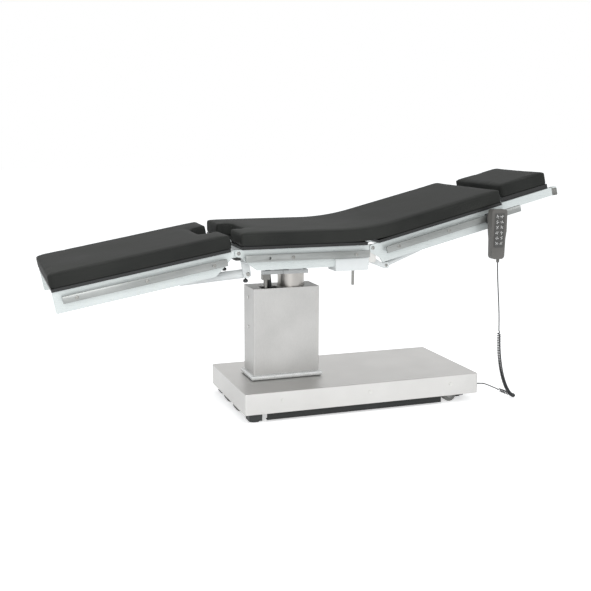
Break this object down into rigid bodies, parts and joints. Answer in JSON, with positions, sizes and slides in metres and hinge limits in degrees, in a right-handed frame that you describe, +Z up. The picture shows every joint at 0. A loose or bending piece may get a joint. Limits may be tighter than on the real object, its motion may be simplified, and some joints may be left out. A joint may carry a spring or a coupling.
{
  "type": "operating table",
  "caption": "Mobile operating table: pedestal column on a low castor base, four-section padded top with side rails, tilt head, hinged leg, back and head sections, and a wired hand control.",
  "frame": {"origin": "centre of the table's footprint on the floor", "axes": "+X towards the head end, along the table; +Y across it, the hand control hangs on the -Y side; +Z up"},
  "size_m": [2.018, 0.5785, 0.905],
  "materials": {
    "stainless": "brushed stainless sheet",
    "polished": "satin polished stainless",
    "chrome_rod": "hard chromed bar",
    "dark_steel": "black powder coat",
    "grey_steel": "grey paint",
    "white_steel": "white enamel",
    "black_vinyl": "black coated fabric",
    "board": "black laminate",
    "rubber": "black rubber",
    "wheel_grey": "dark grey nylon",
    "handset_grey": "grey ABS",
    "keypad": "printed membrane foil",
    "cord": "black PVC"
  },
  "bodies": {
    "base": {"base_cover": "stainless", "base_chassis": "grey_steel", "base_skirts": "dark_steel", "lock_foot_sleeves": "dark_steel", "column_cover": "stainless", "column_collar": "stainless", "column_tube": "grey_steel", "cover_screws": "polished", "cord_gland": "rubber", "handset_tail": "cord", "handset_curl": "cord"},
    "lift": {"lift_column": "chrome_rod", "column_head": "grey_steel", "trend_axle": "chrome_rod", "guide_rod": "dark_steel", "strut_bracket": "dark_steel"},
    "tilt": {"tilt_head": "grey_steel"},
    "tilt_cylinder": {"tilt_cylinder": "dark_steel"},
    "tilt_rod": {"tilt_rod": "chrome_rod"},
    "seat": {"seat_frame": "white_steel", "seat_side_plates": "polished", "seat_hinge_blocks": "polished", "hinge_pins": "chrome_rod", "seat_rails": "polished", "seat_board": "board", "seat_pad": "black_vinyl", "pad_bend": "black_vinyl", "actuator_cover": "white_steel"},
    "leg": {"leg_frame": "polished", "leg_rails": "polished", "leg_board": "board", "leg_pad": "black_vinyl"},
    "leg_cylinders": {"leg_strut_cylinders": "white_steel"},
    "leg_rods": {"leg_strut_rods": "chrome_rod"},
    "back": {"back_frame": "polished", "back_rails": "polished", "back_board": "board", "back_pad": "black_vinyl", "handset_clamp": "dark_steel"},
    "back_cylinders": {"back_strut_cylinders": "white_steel"},
    "back_rods": {"back_strut_rods": "chrome_rod"},
    "head": {"head_frame": "polished", "head_board": "board", "head_pad": "black_vinyl"},
    "handset": {"handset_case": "handset_grey", "handset_keypad": "keypad", "handset_lead": "cord"},
    "castor_fork_1": {"castor_fork_1": "dark_steel"},
    "castor_wheels_1": {"castor_wheels_1": "wheel_grey"},
    "lock_foot_1": {"lock_foot_1": "rubber"},
    "castor_fork_2": {"castor_fork_2": "dark_steel"},
    "castor_wheels_2": {"castor_wheels_2": "wheel_grey"},
    "lock_foot_2": {"lock_foot_2": "rubber"},
    "castor_fork_3": {"castor_fork_3": "dark_steel"},
    "castor_wheels_3": {"castor_wheels_3": "wheel_grey"},
    "lock_foot_3": {"lock_foot_3": "rubber"},
    "castor_fork_4": {"castor_fork_4": "dark_steel"},
    "castor_wheels_4": {"castor_wheels_4": "wheel_grey"},
    "lock_foot_4": {"lock_foot_4": "rubber"}
  },
  "joints": [
    {"name": "castor_swivel_1", "type": "hinge", "parent": "base", "child": "castor_fork_1", "pos_m": [-0.2784, -0.0475, 0.06], "axis": [0, 0, 1], "continuous": true},
    {"name": "castor_spin_1", "type": "hinge", "parent": "castor_fork_1", "child": "castor_wheels_1", "pos_m": [-0.2864, -0.0475, 0.029], "axis": [0, 1, 0], "continuous": true},
    {"name": "castor_swivel_2", "type": "hinge", "parent": "base", "child": "castor_fork_2", "pos_m": [-0.2784, 0.0845, 0.06], "axis": [0, 0, 1], "continuous": true},
    {"name": "castor_spin_2", "type": "hinge", "parent": "castor_fork_2", "child": "castor_wheels_2", "pos_m": [-0.2864, 0.0845, 0.029], "axis": [0, 1, 0], "continuous": true},
    {"name": "castor_swivel_3", "type": "hinge", "parent": "base", "child": "castor_fork_3", "pos_m": [0.5486, -0.1775, 0.06], "axis": [0, 0, 1], "continuous": true},
    {"name": "castor_spin_3", "type": "hinge", "parent": "castor_fork_3", "child": "castor_wheels_3", "pos_m": [0.5406, -0.1775, 0.029], "axis": [0, 1, 0], "continuous": true},
    {"name": "castor_swivel_4", "type": "hinge", "parent": "base", "child": "castor_fork_4", "pos_m": [0.5486, 0.2145, 0.06], "axis": [0, 0, 1], "continuous": true},
    {"name": "castor_spin_4", "type": "hinge", "parent": "castor_fork_4", "child": "castor_wheels_4", "pos_m": [0.5406, 0.2145, 0.029], "axis": [0, 1, 0], "continuous": true},
    {"name": "lock_slide_1", "type": "slide", "parent": "base", "child": "lock_foot_1", "axis": [0, 0, 1], "range_m": [0, 0.012]},
    {"name": "lock_slide_2", "type": "slide", "parent": "base", "child": "lock_foot_2", "axis": [0, 0, 1], "range_m": [0, 0.012]},
    {"name": "lock_slide_3", "type": "slide", "parent": "base", "child": "lock_foot_3", "axis": [0, 0, 1], "range_m": [0, 0.012]},
    {"name": "lock_slide_4", "type": "slide", "parent": "base", "child": "lock_foot_4", "axis": [0, 0, 1], "range_m": [0, 0.012]},
    {"name": "lift_slide", "type": "slide", "parent": "base", "child": "lift", "axis": [0, 0, 1], "range_m": [0, 0.3], "deforming": ["handset_lead", "handset_curl", "handset_tail"]},
    {"name": "trend_tilt", "type": "hinge", "parent": "lift", "child": "tilt", "pos_m": [-0.0604, 0.0185, 0.59], "axis": [0, 1, 0], "range_deg": [-25, 25], "deforming": ["handset_lead", "handset_curl", "handset_tail"]},
    {"name": "lateral_tilt", "type": "hinge", "parent": "tilt", "child": "seat", "pos_m": [-0.0604, 0.0185, 0.59], "axis": [1, 0, 0], "range_deg": [-15, 15], "deforming": ["handset_lead", "handset_curl", "handset_tail"]},
    {"name": "tilt_cylinder_swing", "type": "hinge", "parent": "tilt", "child": "tilt_cylinder", "pos_m": [-0.1644, 0.0025, 0.578], "axis": [0, 1, 0], "range_deg": [-26, 26]},
    {"name": "tilt_rod_slide", "type": "slide", "parent": "tilt_cylinder", "child": "tilt_rod", "axis": [0.1002, 0, -0.995], "range_m": [-0.046, 0.046]},
    {"name": "leg_hinge", "type": "hinge", "parent": "seat", "child": "leg", "pos_m": [-0.3414, 0.0185, 0.638], "axis": [0, -1, 0], "range_deg": [-20, 57]},
    {"name": "leg_strut_swing", "type": "hinge", "parent": "seat", "child": "leg_cylinders", "pos_m": [-0.2864, 0.0185, 0.551], "axis": [0, -1, 0], "range_deg": [-20, 55.5]},
    {"name": "leg_strut_slide", "type": "slide", "parent": "leg_cylinders", "child": "leg_rods", "axis": [-0.9972, 0, -0.0749], "range_m": [-0.094, 0.034]},
    {"name": "back_hinge", "type": "hinge", "parent": "seat", "child": "back", "pos_m": [0.1786, 0.0185, 0.638], "axis": [0, 1, 0], "range_deg": [-56, 29], "deforming": ["handset_lead", "handset_curl", "handset_tail", "pad_bend"]},
    {"name": "back_strut_swing", "type": "hinge", "parent": "seat", "child": "back_cylinders", "pos_m": [0.2466, 0.0185, 0.566], "axis": [0, 1, 0], "range_deg": [-59, 31]},
    {"name": "back_strut_slide", "type": "slide", "parent": "back_cylinders", "child": "back_rods", "axis": [0.9314, 0, 0.3641], "range_m": [-0.046, 0.088]},
    {"name": "head_hinge", "type": "hinge", "parent": "back", "child": "head", "pos_m": [0.7467, 0.0185, 0.76934], "axis": [0, 1, 0], "range_deg": [-27, 60]},
    {"name": "handset_lift", "type": "slide", "parent": "back", "child": "handset", "axis": [0, 0, 1], "range_m": [0, 0.04], "deforming": ["handset_lead", "handset_curl", "handset_tail"]}
  ],
  "couplings": [
    {"joint": "lock_slide_2", "follows": "lock_slide_1", "ratio": 1},
    {"joint": "lock_slide_3", "follows": "lock_slide_1", "ratio": 1},
    {"joint": "lock_slide_4", "follows": "lock_slide_1", "ratio": 1},
    {"joint": "tilt_cylinder_swing", "follows": "trend_tilt", "ratio": -1},
    {"joint": "tilt_rod_slide", "follows": "trend_tilt", "m_per_rad": 0.102},
    {"joint": "leg_strut_swing", "follows": "leg_hinge", "ratio": 0.96},
    {"joint": "leg_strut_slide", "follows": "leg_hinge", "m_per_rad": -0.093},
    {"joint": "back_strut_swing", "follows": "back_hinge", "ratio": 1.04},
    {"joint": "back_strut_slide", "follows": "back_hinge", "m_per_rad": -0.088}
  ]
}
